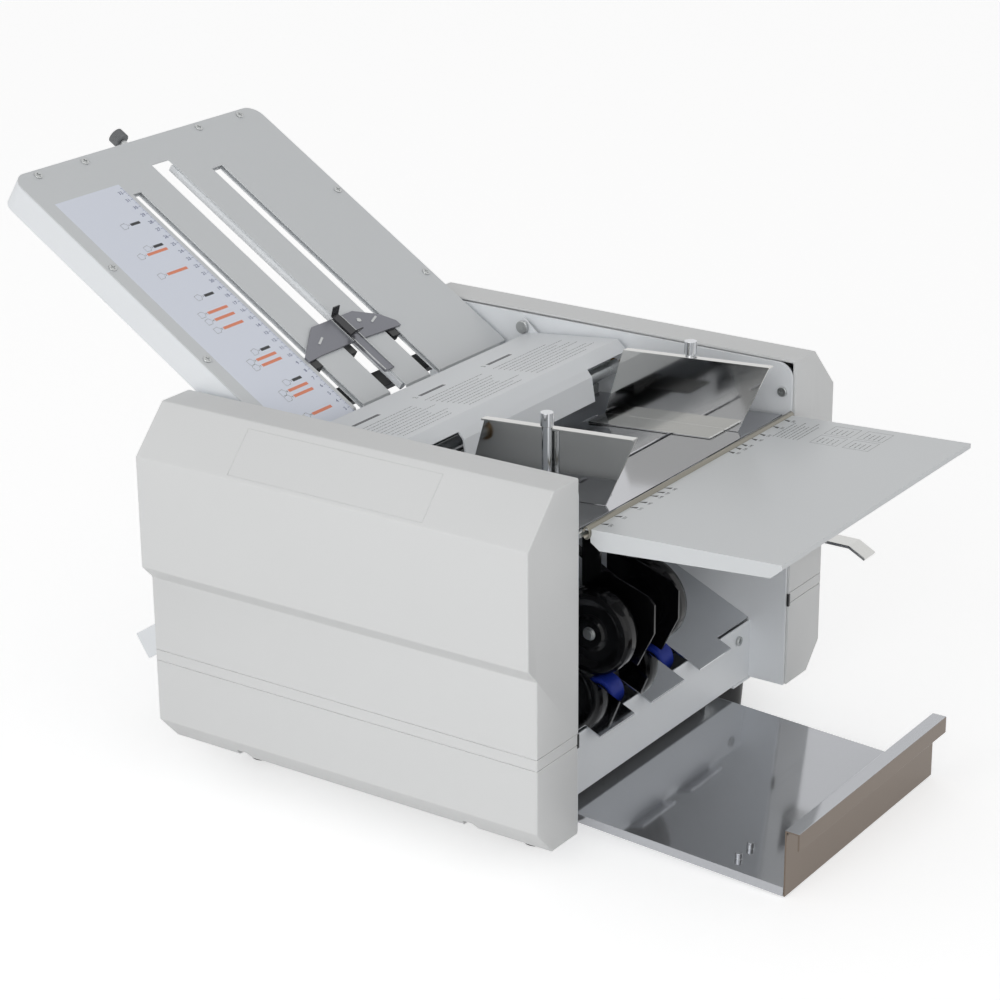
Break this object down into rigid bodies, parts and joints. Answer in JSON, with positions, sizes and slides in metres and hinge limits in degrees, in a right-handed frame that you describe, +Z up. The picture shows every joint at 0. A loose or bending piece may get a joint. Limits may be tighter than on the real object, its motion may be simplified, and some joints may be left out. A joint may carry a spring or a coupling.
{
  "type": "paper_folding_machine",
  "caption": "Desktop friction-feed paper folding machine with deep side covers, feed table, slanted upper fold plate, lower fold plate and delivery tray.",
  "frame": {"origin": "centre of the footprint on the desk, under the machine's outermost faces", "axes": "+X to the operator's right, +Y to the rear, +Z up"},
  "size_m": [0.49, 0.7953, 0.5017],
  "materials": {
    "cover_paint": "pale grey, satin, fine texture",
    "frame_paint": "pale grey, satin",
    "satin_steel": "satin grey",
    "bright_steel": "polished",
    "zinc_steel": "zinc plated",
    "black_rubber": "matt",
    "blue_rubber": "matt blue",
    "black_plastic": "matt, fine grain",
    "hood_plastic": "pale grey",
    "roller_grey": "ground rubber",
    "gear_plastic": "natural acetal",
    "green_plastic": "glossy",
    "bronze": "sintered"
  },
  "bodies": {
    "chassis": {"left_cover": "cover_paint", "right_cover": "cover_paint", "left_side_frame": "frame_paint", "right_side_frame": "frame_paint", "base_pan": "zinc_steel", "front_panel": "frame_paint", "exit_chute": "bright_steel", "cross_bars": "zinc_steel", "machine_screws": "zinc_steel", "rubber_feet": "black_rubber", "shaft_bearings": "bronze", "table_hinge_rod": "zinc_steel", "pivot_screws": "zinc_steel", "retard_pad": "black_plastic", "infeed_guide": "zinc_steel", "drive_motor": "black_plastic", "drive_belts": "black_rubber", "delivery_bracket": "black_plastic", "upper_plate_frame": "frame_paint", "upper_top_sheet": "satin_steel", "plate_rest": "black_plastic", "lower_fold_plate": "frame_paint", "control_panel": "black_plastic", "mains_inlet": "black_plastic"},
    "table": {"feed_table": "satin_steel"},
    "lifter": {"lift_plate": "bright_steel", "friction_pad": "black_rubber"},
    "left_guide_slide": {"left_guide": "bright_steel"},
    "right_guide_slide": {"right_guide": "bright_steel"},
    "left_knob": {"left_guide_knob": "zinc_steel"},
    "right_knob": {"right_guide_knob": "zinc_steel"},
    "hood_lid": {"hood": "hood_plastic"},
    "feeder": {"feed_shaft": "zinc_steel", "feed_roller": "black_rubber"},
    "roller_a": {"fold_roller_a": "roller_grey", "gear_a": "gear_plastic"},
    "roller_b": {"fold_roller_b": "roller_grey", "gear_b": "gear_plastic", "main_pulley": "gear_plastic"},
    "roller_c": {"fold_roller_c": "roller_grey", "gear_c": "gear_plastic"},
    "roller_d": {"fold_roller_d": "roller_grey", "gear_d": "gear_plastic"},
    "rotor": {"motor_pulley": "zinc_steel"},
    "delivery": {"delivery_shaft": "zinc_steel", "delivery_wheels": "black_rubber"},
    "idler": {"idler_shaft": "black_plastic", "blue_tyres": "blue_rubber"},
    "tray": {"delivery_tray": "bright_steel", "tray_stop": "bright_steel", "tray_glides": "black_plastic"},
    "stop": {"stop_carriage": "satin_steel", "stop_fingers": "black_plastic"},
    "adjuster": {"adjusting_screw": "zinc_steel", "adjusting_knob": "zinc_steel"},
    "clamp": {"stop_clip": "black_plastic"},
    "lever": {"lift_lever": "zinc_steel", "lift_shaft": "zinc_steel"},
    "key": {"start_key": "green_plastic"},
    "rocker": {"power_switch": "black_plastic"}
  },
  "joints": [
    {"name": "table_fold", "type": "hinge", "parent": "chassis", "child": "table", "pos_m": [0, -0.21162, 0.286], "axis": [-1, 0, 0], "range_deg": [0, 65]},
    {"name": "lift_tilt", "type": "hinge", "parent": "chassis", "child": "lifter", "pos_m": [0, -0.19523, 0.27916], "axis": [1, 0, 0], "range_deg": [0, 2.76]},
    {"name": "left_guide_travel", "type": "slide", "parent": "lifter", "child": "left_guide_slide", "axis": [1, 0, 0], "range_m": [-0.0425, 0.05]},
    {"name": "right_guide_travel", "type": "slide", "parent": "lifter", "child": "right_guide_slide", "axis": [1, 0, 0], "range_m": [-0.05, 0.0425]},
    {"name": "left_knob_turn", "type": "hinge", "parent": "left_guide_slide", "child": "left_knob", "pos_m": [-0.112, -0.14422, 0.288], "axis": [0, 0, 1], "range_deg": [0, 180]},
    {"name": "right_knob_turn", "type": "hinge", "parent": "right_guide_slide", "child": "right_knob", "pos_m": [0.112, -0.14422, 0.288], "axis": [0, 0, 1], "range_deg": [0, 180]},
    {"name": "hood_open", "type": "hinge", "parent": "chassis", "child": "hood_lid", "pos_m": [0, 0.06338, 0.323], "axis": [-1, 0, 0], "range_deg": [0, 75]},
    {"name": "roller_b_spin", "type": "hinge", "parent": "chassis", "child": "roller_b", "pos_m": [0, 0.01748, 0.2339], "axis": [1, 0, 0], "continuous": true},
    {"name": "roller_a_spin", "type": "hinge", "parent": "chassis", "child": "roller_a", "pos_m": [0, 0.01247, 0.26955], "axis": [1, 0, 0], "continuous": true},
    {"name": "roller_c_spin", "type": "hinge", "parent": "chassis", "child": "roller_c", "pos_m": [0, 0.05269, 0.24138], "axis": [1, 0, 0], "continuous": true},
    {"name": "roller_d_spin", "type": "hinge", "parent": "chassis", "child": "roller_d", "pos_m": [0, 0.03096, 0.20052], "axis": [1, 0, 0], "continuous": true},
    {"name": "feed_spin", "type": "hinge", "parent": "chassis", "child": "feeder", "pos_m": [0, -0.03462, 0.302], "axis": [1, 0, 0], "continuous": true},
    {"name": "motor_spin", "type": "hinge", "parent": "chassis", "child": "rotor", "pos_m": [0, 0.07538, 0.092], "axis": [1, 0, 0], "continuous": true},
    {"name": "delivery_spin", "type": "hinge", "parent": "chassis", "child": "delivery", "pos_m": [0, -0.14162, 0.14], "axis": [1, 0, 0], "continuous": true},
    {"name": "idler_spin", "type": "hinge", "parent": "chassis", "child": "idler", "pos_m": [0, -0.15062, 0.0855], "axis": [1, 0, 0], "continuous": true},
    {"name": "tray_slide", "type": "slide", "parent": "chassis", "child": "tray", "axis": [0, 0.9986, 0.0529], "range_m": [0, 0.11]},
    {"name": "stop_travel", "type": "slide", "parent": "chassis", "child": "stop", "axis": [0, 0.8443, 0.5358], "range_m": [-0.03, 0.2]},
    {"name": "adjuster_turn", "type": "hinge", "parent": "chassis", "child": "adjuster", "pos_m": [-0.009, 0.3808, 0.48397], "axis": [0, 0.8443, 0.5358], "continuous": true},
    {"name": "clip_press", "type": "slide", "parent": "stop", "child": "clamp", "axis": [0, 0.5358, -0.8443], "range_m": [0, 0.0015]},
    {"name": "lever_swing", "type": "hinge", "parent": "chassis", "child": "lever", "pos_m": [0, -0.09462, 0.205], "axis": [-1, 0, 0], "range_deg": [0, 15]},
    {"name": "start_key_press", "type": "slide", "parent": "chassis", "child": "key", "axis": [-0.7301, 0, -0.6834], "range_m": [0, 0.002], "stiffness_N_per_m": 400},
    {"name": "switch_rock", "type": "hinge", "parent": "chassis", "child": "rocker", "pos_m": [0.203, 0.17438, 0.13], "axis": [1, 0, 0], "range_deg": [-10, 0]}
  ],
  "couplings": [
    {"joint": "roller_a_spin", "follows": "roller_b_spin", "ratio": -1},
    {"joint": "roller_c_spin", "follows": "roller_b_spin", "ratio": -1},
    {"joint": "roller_d_spin", "follows": "roller_b_spin", "ratio": -1},
    {"joint": "feed_spin", "follows": "roller_b_spin", "ratio": -1},
    {"joint": "motor_spin", "follows": "roller_b_spin", "ratio": 2.6364},
    {"joint": "delivery_spin", "follows": "roller_b_spin", "ratio": 0.65217},
    {"joint": "idler_spin", "follows": "roller_b_spin", "ratio": -1.641},
    {"joint": "lift_tilt", "follows": "lever_swing", "ratio": 0.184}
  ]
}
